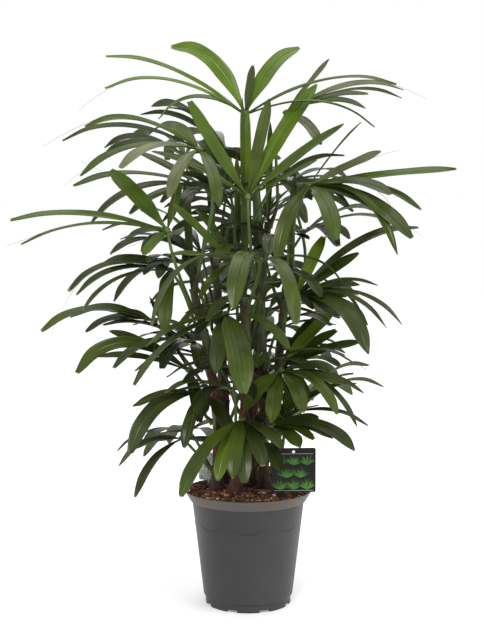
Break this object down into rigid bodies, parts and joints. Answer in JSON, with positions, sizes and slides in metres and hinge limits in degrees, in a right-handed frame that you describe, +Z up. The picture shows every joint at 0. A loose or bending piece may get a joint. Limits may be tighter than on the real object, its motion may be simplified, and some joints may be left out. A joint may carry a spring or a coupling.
{
  "type": "potted lady palm",
  "caption": "Multi-stemmed lady palm with fan-shaped fronds on sheathed canes, in a round plastic nursery pot with bark mulch and plant labels.",
  "frame": {"origin": "centre of the flat underside of the pot", "axes": "+Z up along the pot's axis, -Y towards the viewer of the picture, +X to the viewer's right"},
  "size_m": [0.6578, 0.6683, 0.9088],
  "materials": {
    "leaf": "satin",
    "cane": "matte",
    "pot": "satin",
    "mulch": "matte",
    "label_front": "satin",
    "label_back": "satin"
  },
  "bodies": {
    "root": {"cane_back": "cane", "cane_back_left": "cane", "cane_front": "cane", "cane_left": "cane", "cane_middle": "cane", "cane_right": "cane", "cane_tall": "cane", "frond_back_1": "leaf", "frond_back_10": "leaf", "frond_back_11": "leaf", "frond_back_12": "leaf", "frond_back_13": "leaf", "frond_back_14": "leaf", "frond_back_15": "leaf", "frond_back_2": "leaf", "frond_back_3": "leaf", "frond_back_4": "leaf", "frond_back_5": "leaf", "frond_back_6": "leaf", "frond_back_7": "leaf", "frond_back_8": "leaf", "frond_back_9": "leaf", "frond_crown": "leaf", "frond_front": "leaf", "frond_front_left": "leaf", "frond_front_low": "leaf", "frond_inner_left": "leaf", "frond_inner_low": "leaf", "frond_inner_low_left": "leaf", "frond_inner_middle": "leaf", "frond_inner_right": "leaf", "frond_inner_upper": "leaf", "frond_left_bottom": "leaf", "frond_left_broad": "leaf", "frond_left_far": "leaf", "frond_left_low": "leaf", "frond_left_lower": "leaf", "frond_left_lowest": "leaf", "frond_left_mid": "leaf", "frond_left_upright": "leaf", "frond_right_high": "leaf", "frond_right_low": "leaf", "frond_right_lower": "leaf", "frond_right_lowest": "leaf", "frond_right_mid": "leaf", "frond_upper_front": "leaf", "frond_upper_left": "leaf", "frond_upper_right": "leaf", "label_back": "label_back", "label_front": "label_front", "pot": "pot", "soil": "mulch"}
  },
  "joints": []
}
